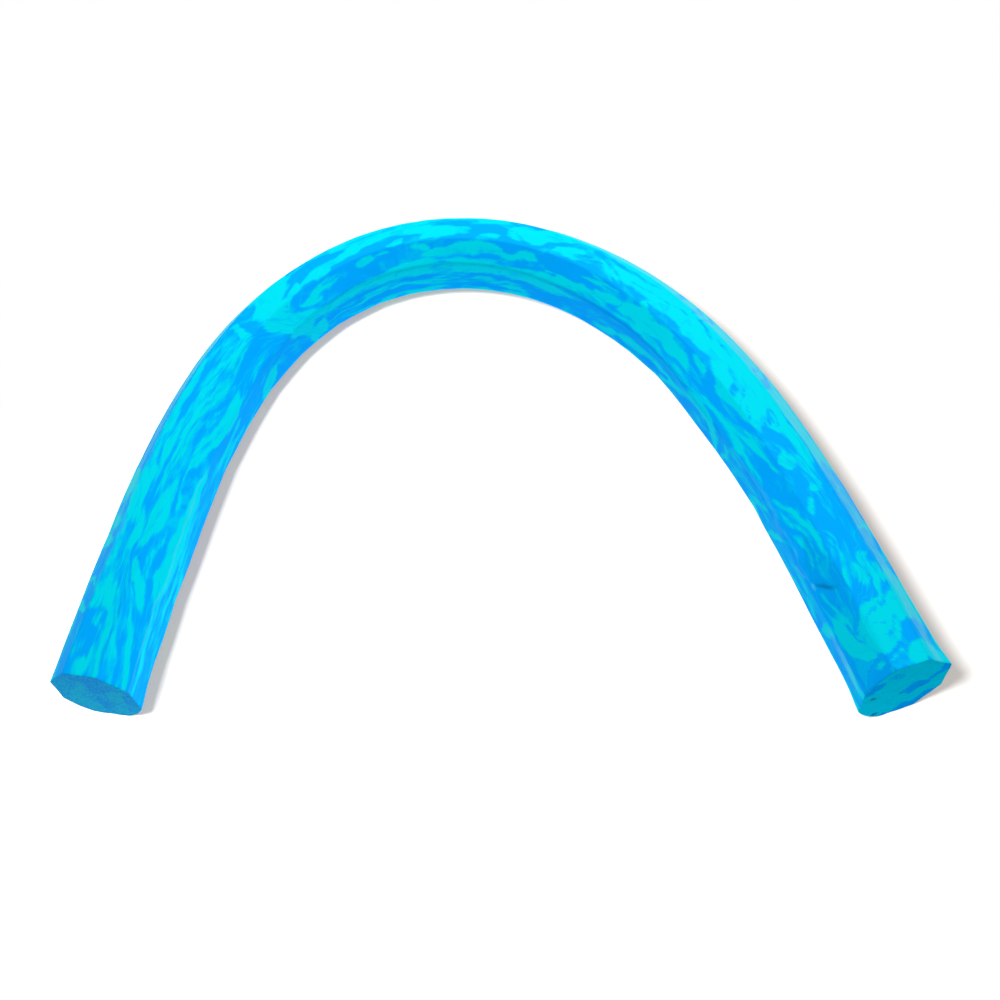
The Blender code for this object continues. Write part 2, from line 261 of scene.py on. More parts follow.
TOP_STROKES_WITH_SHARES = (
    # left arm
    (LIGHT, 0.19, (-0.004, 0.38), (0.007, 0.36), (0.016, 0.36)),
    (LIGHT, 0.05, (-0.004, 0.60), (0.020, 0.56), (0.046, 0.60)),
    (LIGHT, 0.07, (0.036, 0.38), (0.041, 0.41), (0.047, 0.44)),
    (LIGHT, 0.14, (0.047, 0.14), (0.053, 0.26), (0.061, 0.38), (0.071, 0.44)),
    (LIGHT, 0.06, (0.072, 0.10), (0.090, 0.14), (0.114, 0.10)),
    (LIGHT, 0.11, (0.046, 0.62), (0.056, 0.58), (0.066, 0.62)),
    (LIGHT, 0.10, (0.090, 0.62), (0.108, 0.60), (0.128, 0.54)),
    (LIGHT, 0.25, (0.112, 0.34), (0.128, 0.24), (0.148, 0.22), (0.166, 0.24)),
    (LIGHT, 0.15, (0.150, 0.14), (0.180, 0.12), (0.215, 0.12), (0.262, 0.10)),
    (DARK, 0.10, (0.164, 0.40), (0.188, 0.34), (0.212, 0.36), (0.255, 0.42)),
    (LIGHT, 0.12, (0.145, 0.52), (0.172, 0.50), (0.192, 0.54), (0.212, 0.63), (0.240, 0.85), (0.254, 1.02)),
    (LIGHT, 0.05, (0.126, 0.74), (0.156, 0.72), (0.186, 0.80), (0.212, 0.94), (0.240, 1.12)),
    (LIGHT, 0.03, (0.148, 0.92), (0.176, 0.94), (0.200, 1.02), (0.222, 1.16), (0.246, 1.36)),
    (LIGHT, 0.20, (0.092, 0.80), (0.102, 0.90), (0.116, 1.02), (0.132, 1.13), (0.158, 1.20)),
    (LIGHT, 0.09, (-0.006, 0.99), (0.015, 0.96), (0.032, 0.88), (0.048, 0.74), (0.058, 0.62)),
    (LIGHT, 0.04, (-0.006, 1.36), (0.018, 1.26), (0.034, 1.10), (0.048, 0.92)),
    (LIGHT, 0.09, (-0.006, 1.84), (0.014, 1.70), (0.032, 1.52), (0.048, 1.32), (0.060, 1.12), (0.068, 0.86)),
    (LIGHT, 0.19, (0.051, 1.62), (0.060, 1.44), (0.070, 1.20), (0.079, 0.98), (0.090, 0.82)),
    (LIGHT, 0.03, (0.060, 1.48), (0.082, 1.34), (0.104, 1.36)),
    (LIGHT, 0.03, (0.068, 1.52), (0.090, 1.42), (0.116, 1.50)),
    (LIGHT, 0.05, (0.126, 1.52), (0.142, 1.46), (0.162, 1.38)),
    (LIGHT, 0.21, (0.154, 1.32), (0.168, 1.38), (0.184, 1.58), (0.200, 1.80), (0.220, 1.92), (0.246, 1.80)),
    (LIGHT, 0.17, (0.060, 1.90), (0.082, 1.84), (0.106, 1.90), (0.140, 1.98)),
    (LIGHT, 0.04, (0.198, 1.32), (0.214, 1.42), (0.226, 1.54)),
    (LIGHT, 0.03, (0.216, 1.20), (0.234, 1.30), (0.252, 1.44)),
    (LIGHT, 0.20, (0.040, 2.10), (0.060, 2.00), (0.082, 1.98), (0.105, 2.05), (0.138, 2.04), (0.172, 2.02)),
    (MORE_LIGHT, 0.12, (-0.006, 2.26), (0.016, 2.28), (0.034, 2.16), (0.050, 2.00)),
    # left shoulder
    (MORE_LIGHT, 0.06, (0.248, 0.62), (0.262, 0.57), (0.278, 0.66)),
    (MORE_LIGHT, 0.04, (0.252, 0.30), (0.266, 0.26), (0.282, 0.34)),
    (DARK, 0.06, (0.258, 0.76), (0.270, 0.78), (0.284, 0.86)),
    (LIGHT, 0.06, (0.248, 1.16), (0.264, 1.14), (0.276, 1.02), (0.286, 0.86)),
    (LIGHT, 0.05, (0.248, 1.40), (0.266, 1.30), (0.282, 1.14)),
    (LIGHT, 0.04, (0.252, 2.06), (0.264, 1.92), (0.280, 1.76)),
    (LIGHT, 0.16, (0.287, -0.05), (0.288, 0.30), (0.288, 0.70), (0.292, 1.04)),
    (LIGHT, 0.14, (0.336, 1.92), (0.348, 2.05), (0.358, 2.25)),
    (LIGHT, 0.66, (0.300, 0.40), (0.316, 0.50), (0.334, 0.40), (0.352, 0.10)),
    (LIGHT, 0.32, (0.298, 0.80), (0.306, 1.20), (0.313, 1.60), (0.323, 2.00), (0.333, 2.40), (0.338, 3.05)),
    (LIGHT, 0.30, (0.312, 0.80), (0.318, 1.10), (0.322, 1.40), (0.334, 1.90), (0.345, 2.20)),
    (MORE_LIGHT, 0.14, (0.338, 2.10), (0.365, 2.12), (0.400, 2.16)),
    (DARK, 0.20, (0.292, -0.05), (0.296, 0.12), (0.299, 0.36)),
    (DARK, 0.16, (0.301, 0.46), (0.307, 0.28), (0.316, 0.10)),
    (DARK, 0.05, (0.300, 1.62), (0.306, 1.84), (0.316, 2.00)),
    (DARK, 0.07, (0.312, 2.10), (0.318, 2.36), (0.328, 2.74)),
    (DARK, 0.05, (0.321, 1.12), (0.326, 0.90), (0.337, 0.68), (0.350, 0.50), (0.362, 0.40)),
    (DARK, 0.11, (0.342, 0.48), (0.362, 0.32), (0.382, 0.28), (0.408, 0.22)),
    (LIGHT, 0.05, (0.346, 0.16), (0.370, 0.10), (0.408, 0.06)),
    (DARK, 0.04, (0.356, 0.14), (0.362, 0.10), (0.370, 0.12)),
    # the eye on the left shoulder
    (DARK, 0.10, (0.322, 1.16), (0.329, 1.42), (0.338, 1.64), (0.350, 1.84)),
    (DARK, 0.22, (0.342, 1.84), (0.360, 1.82), (0.382, 1.74), (0.402, 1.64)),
    (DARK, 0.25, (0.400, 1.60), (0.430, 1.60), (0.458, 1.58)),
    (LIGHT, 0.18, (0.336, 1.34), (0.345, 1.52), (0.362, 1.62)),
    (LIGHT, 0.13, (0.346, 1.46), (0.362, 1.36), (0.388, 1.30)),
    (DARK, 0.03, (0.352, 1.66), (0.362, 1.52), (0.376, 1.50)),
    (DARK, 0.22, (0.337, 1.32), (0.343, 1.12), (0.350, 1.04), (0.361, 1.06)),
    (LIGHT, 0.14, (0.360, 0.90), (0.369, 0.98), (0.382, 0.98)),
    (LIGHT, 0.05, (0.328, 1.36), (0.331, 1.14), (0.339, 0.94), (0.350, 0.82), (0.362, 0.78)),
    (DARK, 0.03, (0.364, 1.36), (0.374, 1.30), (0.388, 1.30)),
    # crown
    (LIGHT, 0.20, (0.350, 0.84), (0.366, 0.78), (0.385, 0.72), (0.405, 0.58), (0.432, 0.42)),
    (LIGHT, 0.20, (0.404, 0.50), (0.428, 0.36), (0.450, 0.38), (0.476, 0.48), (0.506, 0.62)),
    (LIGHT, 0.14, (0.428, 0.80), (0.437, 0.82), (0.447, 0.76)),
    (LIGHT, 0.17, (0.456, 0.86), (0.468, 0.76), (0.490, 0.72), (0.512, 0.76)),
    (DARK, 0.13, (0.402, 0.96), (0.412, 0.78), (0.430, 0.70), (0.442, 0.66)),
    (DARK, 0.11, (0.447, 0.94), (0.452, 0.82), (0.459, 0.92)),
    (DARK, 0.10, (0.464, 0.34), (0.482, 0.30), (0.508, 0.40)),
    (DARK, 0.14, (0.464, 1.12), (0.485, 1.10), (0.508, 1.00)),
    (LIGHT, 0.17, (0.400, 1.22), (0.411, 1.18), (0.421, 1.20)),
    (LIGHT, 0.05, (0.420, 1.20), (0.428, 1.16), (0.436, 1.20)),
    (LIGHT, 0.10, (0.450, 1.10), (0.458, 1.24), (0.468, 1.38)),
    (LIGHT, 0.28, (0.460, 1.60), (0.480, 1.55), (0.500, 1.42), (0.518, 1.38), (0.540, 1.46)),
    (LIGHT, 0.19, (0.541, 1.40), (0.555, 1.34), (0.570, 1.42)),
    (LIGHT, 0.07, (0.527, 1.54), (0.537, 1.52), (0.548, 1.50)),
    (LIGHT, 0.09, (0.358, 2.06), (0.385, 2.02), (0.415, 2.00), (0.445, 1.94), (0.480, 1.86)),
    (LIGHT, 0.12, (0.470, 1.90), (0.500, 1.86), (0.540, 1.96), (0.580, 1.90), (0.615, 1.80)),
    (LIGHT, 0.07, (0.572, 1.72), (0.592, 1.64), (0.622, 1.66)),
    (LIGHT, 0.13, (0.503, 0.14), (0.518, 0.16), (0.534, 0.10)),
    (DARK, 0.22, (0.500, 0.70), (0.514, 0.62), (0.530, 0.66)),
    (LIGHT, 0.08, (0.510, 0.84), (0.519, 0.80), (0.529, 0.84)),
    (LIGHT, 0.30, (0.531, 0.72), (0.543, 0.62), (0.557, 0.60), (0.568, 0.50)),
    (LIGHT, 0.20, (0.552, 0.44), (0.572, 0.32), (0.590, 0.12)),
    (DARK, 0.11, (0.540, 0.06), (0.551, 0.22), (0.566, 0.06)),
    (DARK, 0.03, (0.530, 0.28), (0.537, 0.50), (0.544, 0.72), (0.549, 0.96)),
    (DARK, 0.12, (0.562, 0.98), (0.570, 0.74), (0.581, 0.50), (0.592, 0.30), (0.604, 0.08)),
    (LIGHT, 0.12, (0.573, 0.80), (0.586, 0.64), (0.602, 0.44)),
    (LIGHT, 0.04, (0.580, 0.92), (0.590, 0.84), (0.598, 0.90)),
    (DARK, 0.17, (0.604, 0.10), (0.610, 0.22), (0.618, 0.26)),
    (DARK, 0.17, (0.588, 0.84), (0.600, 0.78), (0.612, 0.72), (0.626, 0.70)),
    (LIGHT, 0.03, (0.589, 0.92), (0.600, 0.76), (0.610, 0.62)),
    (LIGHT, 0.06, (0.618, 0.40), (0.627, 0.62), (0.640, 0.80)),
    (DARK, 0.04, (0.616, 0.04), (0.622, 0.40), (0.631, 0.72), (0.641, 0.98)),
    (DARK, 0.14, (0.512, 0.98), (0.531, 1.06), (0.538, 1.32), (0.547, 1.24), (0.553, 1.08)),
    (DARK, 0.10, (0.515, 1.78), (0.545, 1.78), (0.584, 1.70)),
    # right shoulder
    (LIGHT, 0.36, (0.624, 0.30), (0.650, 0.46), (0.690, 0.42), (0.720, 0.54), (0.756, 0.66)),
    (LIGHT, 0.28, (0.630, 0.14), (0.690, 0.12), (0.740, 0.24), (0.790, 0.30)),
    (PLAIN_DARK, 0.38, (0.566, 1.26), (0.588, 1.26), (0.610, 1.28), (0.636, 1.26)),
    (PLAIN_DARK, 0.20, (0.594, 0.82), (0.620, 0.96), (0.652, 1.10)),
    (LIGHT, 0.03, (0.614, 0.36), (0.623, 0.66), (0.636, 0.94)),
    (LIGHT, 0.03, (0.622, 0.46), (0.633, 0.74), (0.648, 1.00)),
    (LIGHT, 0.07, (0.574, 1.72), (0.592, 1.66), (0.622, 1.68)),
    (LIGHT, 0.03, (0.608, 1.02), (0.628, 1.10), (0.648, 1.22)),
    (LIGHT, 0.03, (0.604, 1.26), (0.624, 1.22), (0.642, 1.30)),
    (LIGHT, 0.14, (0.622, 1.50), (0.640, 1.50), (0.656, 1.46)),
    (LIGHT, 0.28, (0.644, 1.48), (0.666, 1.40), (0.695, 1.46), (0.722, 1.44), (0.740, 1.62)),
    (DARK, 0.18, (0.638, 0.98), (0.653, 1.00), (0.668, 1.04)),
    (DARK, 0.22, (0.677, 1.02), (0.690, 1.02), (0.704, 1.10)),
    (LIGHT, 0.14, (0.656, 1.26), (0.672, 1.30), (0.692, 1.44)),
    (DARK, 0.17, (0.700, 1.10), (0.718, 1.13), (0.738, 1.20)),
    (LIGHT, 0.12, (0.665, 0.84), (0.672, 1.04), (0.677, 1.24)),
    (LIGHT, 0.05, (0.624, 1.50), (0.640, 1.46), (0.650, 1.42)),
    (DARK, 0.05, (0.652, 1.34), (0.650, 1.54), (0.642, 1.66)),
    (LIGHT, 0.05, (0.604, 1.60), (0.632, 1.70), (0.655, 1.78), (0.690, 1.82)),
    (DARK, 0.04, (0.668, 1.72), (0.692, 1.66), (0.720, 1.74)),
    (LIGHT, 0.10, (0.728, 1.12), (0.740, 1.18), (0.752, 1.30)),
    (DARK, 0.05, (0.700, 0.00), (0.712, 0.12), (0.722, 0.24), (0.732, 0.42)),
    (DARK, 0.07, (0.735, 0.18), (0.741, 0.22), (0.747, 0.18)),
    (DARK, 0.03, (0.630, 0.20), (0.652, 0.14), (0.680, 0.20)),
    (DARK, 0.03, (0.640, 0.46), (0.660, 0.50), (0.684, 0.28), (0.704, 0.12)),
    # right arm
    (LIGHT, 0.56, (0.730, 0.50), (0.760, 0.40), (0.798, 0.40), (0.822, 0.26)),
    (LIGHT, 0.24, (0.740, 0.80), (0.765, 0.92), (0.785, 0.96), (0.814, 0.86)),
    (LIGHT, 0.18, (0.760, 1.06), (0.772, 1.16), (0.783, 1.20)),
    (DARK, 0.03, (0.750, 0.60), (0.762, 0.58), (0.774, 0.68)),
    (DARK, 0.09, (0.768, 0.76), (0.774, 0.84), (0.781, 0.88)),
    (DARK, 0.03, (0.778, 0.50), (0.784, 0.80), (0.788, 1.06)),
    (DARK, 0.03, (0.785, 0.60), (0.792, 0.84), (0.800, 1.02)),
    (DARK, 0.07, (0.796, 0.20), (0.803, 0.36), (0.813, 0.52)),
    (DARK, 0.03, (0.799, 0.18), (0.808, 0.28), (0.815, 0.38)),
    (DARK, 0.05, (0.806, 0.62), (0.813, 0.84), (0.819, 1.00)),
    (DARK, 0.22, (0.819, 0.92), (0.824, 0.72), (0.832, 0.52)),
    (LIGHT, 0.18, (0.836, 0.96), (0.841, 0.76), (0.848, 0.54)),
    (EVEN, 0.22, (0.836, 0.34), (0.852, 0.34), (0.870, 0.36)),
    (LIGHT, 0.15, (0.810, 0.14), (0.830, 0.12), (0.854, 0.12)),
    (LIGHT, 0.03, (0.848, 0.50), (0.856, 0.34), (0.866, 0.10)),
    (LIGHT, 0.10, (0.862, 0.58), (0.866, 0.52), (0.869, 0.44)),
    (LIGHT, 0.13, (0.870, 0.74), (0.877, 0.82), (0.886, 0.96)),
    (LIGHT, 0.04, (0.898, 0.98), (0.901, 0.76), (0.908, 0.66), (0.918, 0.78), (0.922, 0.94)),
    (LIGHT, 0.04, (0.904, 0.90), (0.908, 0.80), (0.914, 0.86)),
    (EVEN, 0.28, (0.926, 0.04), (0.931, 0.40), (0.937, 0.74)),
    (LIGHT, 0.08, (0.920, 0.12), (0.925, 0.30), (0.931, 0.26)),
    (LIGHT, 0.12, (0.925, 0.70), (0.931, 0.56), (0.941, 0.60)),
    (LIGHT, 0.05, (0.924, 0.86), (0.932, 0.98), (0.942, 0.92)),
    (LIGHT, 0.56, (0.950, -0.40), (0.957, 0.05), (0.963, 0.50), (0.971, 1.00), (0.976, 1.35)),
    (LIGHT, 0.34, (0.966, 0.10), (0.974, 0.50), (0.978, 0.90), (0.977, 1.30)),
    (LIGHT, 0.16, (0.926, -0.08), (0.936, 0.10), (0.950, 0.36)),
    (DARK, 0.08, (0.938, -0.02), (0.948, 0.26), (0.959, 0.56)),
    (DARK, 0.03, (0.951, 0.48), (0.956, 0.70), (0.962, 0.92)),
    (DARK, 0.03, (0.958, 0.36), (0.964, 0.60), (0.968, 0.90)),
    (DARK, 0.03, (0.964, 0.30), (0.971, 0.55), (0.975, 0.85)),
    (DARK, 0.03, (0.940, 0.58), (0.946, 0.74), (0.950, 0.94)),
    (DARK, 0.12, (0.964, -0.08), (0.975, 0.22), (0.983, 0.50), (0.988, 0.85), (0.987, 1.25)),
    (DARK, 0.26, (0.990, 0.36), (0.993, 0.70), (0.996, 1.10)),
    (LIGHT, 0.30, (0.988, -0.50), (0.991, 0.02), (0.996, 0.52)),
    (LIGHT, 0.03, (0.985, 0.40), (0.989, 0.75), (0.991, 1.05)),
    (LIGHT, 0.07, (0.788, 1.64), (0.806, 1.50), (0.824, 1.30), (0.850, 1.12)),
    (LIGHT, 0.07, (0.796, 1.78), (0.812, 1.72), (0.834, 1.80), (0.852, 1.88)),
    (LIGHT, 0.05, (0.756, 1.80), (0.784, 1.72), (0.806, 1.66)),
    (LIGHT, 0.04, (0.800, 1.38), (0.812, 1.26), (0.828, 1.10)),
    (LIGHT, 0.08, (0.858, 1.82), (0.874, 1.54), (0.888, 1.28), (0.903, 1.12), (0.920, 1.22)),
    (LIGHT, 0.05, (0.868, 1.84), (0.884, 1.62), (0.896, 1.42), (0.908, 1.38), (0.918, 1.56)),
    (LIGHT, 0.05, (0.884, 1.84), (0.896, 1.66), (0.908, 1.62), (0.918, 1.80)),
    (LIGHT, 0.05, (0.930, 1.76), (0.938, 1.82), (0.950, 1.68), (0.956, 1.50)),
    (LIGHT, 0.30, (0.982, 1.02), (0.980, 1.35), (0.971, 1.62), (0.946, 1.84)),
    (DARK, 0.04, (0.970, 1.10), (0.975, 1.32), (0.966, 1.52)),
    (DARK, 0.04, (0.964, 1.20), (0.967, 1.42), (0.956, 1.60)),
    (LIGHT, 0.09, (0.991, 1.10), (0.993, 1.40)),
)
INNER_SIDE_STROKES_WITH_SHARES = (
    (LIGHT, 0.04, (0.030, 2.72), (0.050, 2.56), (0.075, 2.50), (0.110, 2.40), (0.145, 2.38)),
    (LIGHT, 0.05, (0.180, 2.46), (0.204, 2.42), (0.230, 2.28)),
    (LIGHT, 0.05, (0.182, 2.86), (0.206, 2.78), (0.232, 2.66)),
    (LIGHT, 0.05, (0.014, 2.90), (0.030, 2.80), (0.045, 2.72)),
    (LIGHT, 0.08, (0.070, 2.88), (0.085, 2.86), (0.096, 2.80)),
    (LIGHT, 0.26, (0.256, 3.00), (0.268, 2.72), (0.280, 2.52), (0.289, 2.34)),
    (LIGHT, 0.20, (0.396, 2.20), (0.430, 2.22), (0.470, 2.16), (0.520, 2.14), (0.560, 2.20), (0.604, 2.12)),
    (LIGHT, 0.30, (0.330, 2.30), (0.345, 2.55), (0.352, 2.90)),
    (DARK, 0.09, (0.337, 2.34), (0.345, 2.30), (0.354, 2.34)),
    (LIGHT, 0.06, (0.380, 2.62), (0.420, 2.54), (0.460, 2.60), (0.500, 2.52)),
    (LIGHT, 0.07, (0.400, 2.92), (0.440, 2.86), (0.480, 2.90)),
    (LIGHT, 0.08, (0.518, 2.76), (0.545, 2.72), (0.567, 2.82)),
    (LIGHT, 0.06, (0.500, 2.56), (0.530, 2.54), (0.560, 2.42)),
    (DARK, 0.08, (0.405, 2.40), (0.440, 2.40), (0.475, 2.46)),
    (DARK, 0.08, (0.362, 2.78), (0.395, 2.72), (0.425, 2.70), (0.478, 2.76)),
    (DARK, 0.08, (0.506, 2.38), (0.535, 2.40), (0.564, 2.46)),
    (DARK, 0.14, (0.498, 2.88), (0.520, 2.78), (0.542, 2.88)),
    (DARK, 0.22, (0.560, 2.88), (0.585, 2.68), (0.612, 2.44), (0.640, 2.20), (0.680, 2.06), (0.732, 2.12)),
    (LIGHT, 0.12, (0.628, 2.78), (0.660, 2.58), (0.690, 2.42), (0.715, 2.44), (0.748, 2.58)),
    (LIGHT, 0.11, (0.700, 2.92), (0.718, 2.74), (0.740, 2.44), (0.770, 2.16)),
    (DARK, 0.10, (0.658, 2.88), (0.690, 2.74), (0.714, 2.88)),
    (DARK, 0.07, (0.698, 2.56), (0.712, 2.62), (0.726, 2.52)),
    (LIGHT, 0.26, (0.746, 2.04), (0.770, 2.10), (0.786, 2.40), (0.794, 2.92)),
    (LIGHT, 0.12, (0.802, 2.08), (0.806, 2.50), (0.800, 2.95)),
    (DARK, 0.11, (0.772, 2.34), (0.779, 2.56), (0.777, 2.82)),
    (LIGHT, 0.08, (0.864, 2.06), (0.853, 2.40), (0.842, 2.82)),
    (LIGHT, 0.11, (0.888, 2.08), (0.877, 2.44), (0.868, 2.82)),
    (LIGHT, 0.09, (0.900, 2.82), (0.922, 2.74), (0.946, 2.82)),
    (LIGHT, 0.14, (0.960, 2.08), (0.954, 2.36), (0.948, 2.78)),
    (LIGHT, 0.12, (0.976, 2.24), (0.990, 2.26), (1.010, 2.20)),
)
OUTER_SLOPE_STROKES_WITH_SHARES = (
    (LIGHT, 0.14, (0.048, -0.02), (0.052, -0.50), (0.058, -1.00)),
    (LIGHT, 0.07, (0.066, -0.02), (0.072, -0.50), (0.076, -1.00)),
    (LIGHT, 0.24, (0.096, 0.00), (0.100, -0.50), (0.106, -1.05)),
    (LIGHT, 0.10, (0.114, -0.02), (0.116, -0.50), (0.120, -1.00)),
    (LIGHT, 0.46, (0.144, 0.02), (0.150, -0.50), (0.160, -1.05)),
    (LIGHT, 0.56, (0.220, -0.50), (0.420, -0.45), (0.640, -0.50), (0.930, -0.50)),
    (DARK, 0.18, (0.682, 0.04), (0.679, -0.50), (0.674, -1.05)),
    (DARK, 0.14, (0.699, 0.04), (0.697, -0.50), (0.692, -1.05)),
    (DARK, 0.09, (0.708, 0.10), (0.706, -0.50), (0.702, -1.05)),
    (DARK, 0.14, (0.780, -0.10), (0.774, -0.50), (0.764, -1.05)),
    (MORE_DARK, 0.10, (0.768, -0.12), (0.762, -0.50), (0.758, -1.05)),
    (DARK, 0.54, (0.842, -0.50), (0.890, -0.45), (0.938, -0.50)),
    (LIGHT, 0.05, (0.872, -0.02), (0.868, -0.50), (0.866, -0.98)),
    (LIGHT, 0.06, (0.904, -0.02), (0.900, -0.50), (0.899, -0.98)),
    (LIGHT, 0.54, (0.928, -0.50), (0.950, -0.50), (0.974, -0.50)),
    (DARK, 0.42, (0.967, -0.50), (0.977, -0.45), (0.986, -0.50)),
    (LIGHT, 0.34, (0.986, -0.60), (0.992, -0.55), (1.006, -0.60)),
)
figures = TOP_STROKES_WITH_SHARES + INNER_SIDE_STROKES_WITH_SHARES + OUTER_SLOPE_STROKES_WITH_SHARES
print("strokes laid by hand:", len(GROUND_STROKES_WITH_SHARES) + len(figures))

# %% [markdown]
# The sides that the listed strokes leave out
#
# The ground side, the outer side and the lower slopes are marbled too. There the strokes are dealt
# out by a seeded random generator, with the lengths, widths and slants that the top shows: mostly
# along the bar, some short and fat, some long and thin.

# %% Strokes for the lower sides
DEALT_COUNT = 270
DEALING_SEED = 11
DEALT_TONES = (LIGHT, LIGHT, DARK, DARK, EVEN)
DEALT_PLACES = (-0.02, 1.02)
LOWER_SIDES = (3.1, 6.9)
DEALT_REACHES = (0.012, 0.020, 0.035, 0.060)
DEALT_WIDTHS = (0.04, 0.28)
SLANT_SPREAD = 0.25
BEND_SPREAD = 0.15


def dealt_strokes(count, seed):
    dice = random.Random(seed)
    strokes = []
    for _ in range(count):
        tone = dice.choice(DEALT_TONES)
        place, turn = dice.uniform(*DEALT_PLACES), dice.uniform(*LOWER_SIDES)
        reach = dice.choice(DEALT_REACHES)
        width = dice.uniform(*DEALT_WIDTHS)
        slant, bend = dice.gauss(0, SLANT_SPREAD), dice.gauss(0, BEND_SPREAD)
        ends = ((place - reach, turn - slant), (place, turn + bend), (place + reach, turn + slant))
        strokes.append((tone, width) + ends)
    return tuple(strokes)


dealt = dealt_strokes(DEALT_COUNT, DEALING_SEED)
all_strokes = GROUND_STROKES_WITH_SHARES + dealt + figures
print("strokes dealt out:", len(dealt))

# %% [markdown]
# Wandering
#
# No stroke in foam keeps a smooth outline. Each point is led a few millimetres astray before it looks
# up the strokes. A sum of plane waves with random directions gives such a smooth, random shift for
# all points at once, which is much quicker than asking a noise function point by point.

# %% Smooth random numbers for a table of points
ASTRAY_ALONG = ((0.0016, 0.0060, 2.0, 1), (0.0009, 0.0022, 2.0, 2))
ASTRAY_ACROSS = ((0.0013, 0.0070, 3.0, 3), (0.0007, 0.0026, 3.0, 4))


def wandering(points, grain, stretch, seed, waves=28):
    """One smooth random number for each point, of spread 1, with grains of this size."""
    dice = np.random.default_rng(seed)
    numbers = dice.normal(size=(waves, 3)) / grain
    numbers[:, 0] /= stretch
    phases = dice.uniform(0, 2 * math.pi, waves)
    total = np.zeros(len(points))
    for number, phase in zip(numbers, phases):
        total += np.sin(points @ number + phase)
    return total * math.sqrt(2 / waves)


def led_astray(values, points, layers):
    """The values plus layers of wandering, each given by its height, grain, stretch and seed."""
    for height, grain, stretch, seed in layers:
        values = values + height * wandering(points, grain, stretch, seed)
    return values


astray_along = led_astray(place_share * LENGTH, straight, ASTRAY_ALONG)
astray_across = led_astray(round_share * FLAT, straight, ASTRAY_ACROSS)
print("led astray by up to", round(float(abs(astray_along - place_share * LENGTH).max() * 1000), 1), "mm")

# %% [markdown]
# One stroke
#
# A stroke's places are joined by a smooth curve through all of them. For every point near it, three
# things count: how far the point is from that curve, how far along it lies, and which way the curve
# runs there. The brush is widest in the middle and closes to a point at both ends, where the colour
# also thins out.

# %% A smooth curve through the places, and a point's place beside it
def smooth_route(places, steps=5):
    points = np.array([(share * LENGTH, turn * FLAT) for share, turn in places])
    points = np.vstack([2 * points[0] - points[1], points, 2 * points[-1] - points[-2]])
    route = []
    for p0, p1, p2, p3 in zip(points, points[1:], points[2:], points[3:]):
        for t in np.arange(steps) / steps:
            bend = (2 * p0 - 5 * p1 + 4 * p2 - p3) * t ** 2 + (3 * p1 - p0 - 3 * p2 + p3) * t ** 3
            route.append((2 * p1 + (p2 - p0) * t + bend) / 2)
    route.append(points[-2])
    return np.array(route)


def beside(route, along, across):
    """How far the points are from the route, their share of its length, and its heading there."""
    spans = np.linalg.norm(np.diff(route, axis=0), axis=1)
    away, share, heading = np.full(len(along), np.inf), np.zeros(len(along)), np.zeros(len(along))
    done = 0
    for (a0, b0), (a1, b1), span in zip(route, route[1:], spans):
        part = np.clip(((along - a0) * (a1 - a0) + (across - b0) * (b1 - b0)) / span ** 2, 0, 1)
        distance = np.hypot(along - a0 - part * (a1 - a0), across - b0 - part * (b1 - b0))
        nearer = distance < away
        away[nearer] = distance[nearer]
        share[nearer] = (done + part[nearer] * span) / spans.sum()
        heading[nearer] = math.atan2(b1 - b0, a1 - a0)
        done += span
    return away, share, heading, spans.sum()


def near_a_route(route, reach, along):
    low, high = route[:, 0].min() - reach, route[:, 0].max() + reach
    return np.flatnonzero((along > low) & (along < high))


def unrolled_beside(across, route):
    """The same turns, each counted from the side that is nearer to the route."""
    return across + ROUND_THE_BAR * np.round((route[:, 1].mean() - across) / ROUND_THE_BAR)


# %% Brush strokes
STROKE_SOFTNESS = 0.0013
STROKE_FULLNESS = 3.4
TIP_REACH = 0.016
TIP_START = 0.30
LEAST_TIP_RISE = 4


def lay_stroke(tone, stroke, along, across):
    colour, width, *places = stroke
    route = smooth_route(places)
    near = near_a_route(route, width * FLAT + STROKE_SOFTNESS, along)
    away, share, _, length = beside(route, along[near], unrolled_beside(across[near], route))
    brush = width * FLAT * (1 - np.abs(2 * share - 1) ** STROKE_FULLNESS)
    side = np.clip(0.5 + (brush - away) / (2 * STROKE_SOFTNESS), 0, 1)
    rise = max(length / TIP_REACH, LEAST_TIP_RISE)
    tip = np.clip(TIP_START + np.minimum(share, 1 - share) * rise, 0, 1)
    tone[near] += side * tip * (colour - tone[near])


tone = np.full(len(straight), EVEN)
for stroke in all_strokes:
    lay_stroke(tone, stroke, astray_along, astray_across)
print("light leads on", round(float((tone > 0).mean()), 2), "of the points")

# %% [markdown]
# The flow
#
# Between and inside the large figures run fine threads, and these follow the flow: they swerve where
# the strokes swerve. So the strokes' headings are spread over a grid on the unrolled skin, and from
# ring to ring each thread is carried sideways by the heading it meets. What comes out is how far the
# threads have drifted round the bar at every place. The material then draws its threads on a bar
# that is twisted by that drift, and they bend like the strokes.

# %% Headings on a grid, and the drift that they cause
FLOW_STEP = 0.0020
FLOW_COLUMNS = 128
FIGURE_CORE = 0.8
STEEPEST = math.radians(58)
CALM = 0.20
FLOW_MARGIN = 0.004
FORGET_OVER = 0.90
WIDEST_FIGURE = 0.9

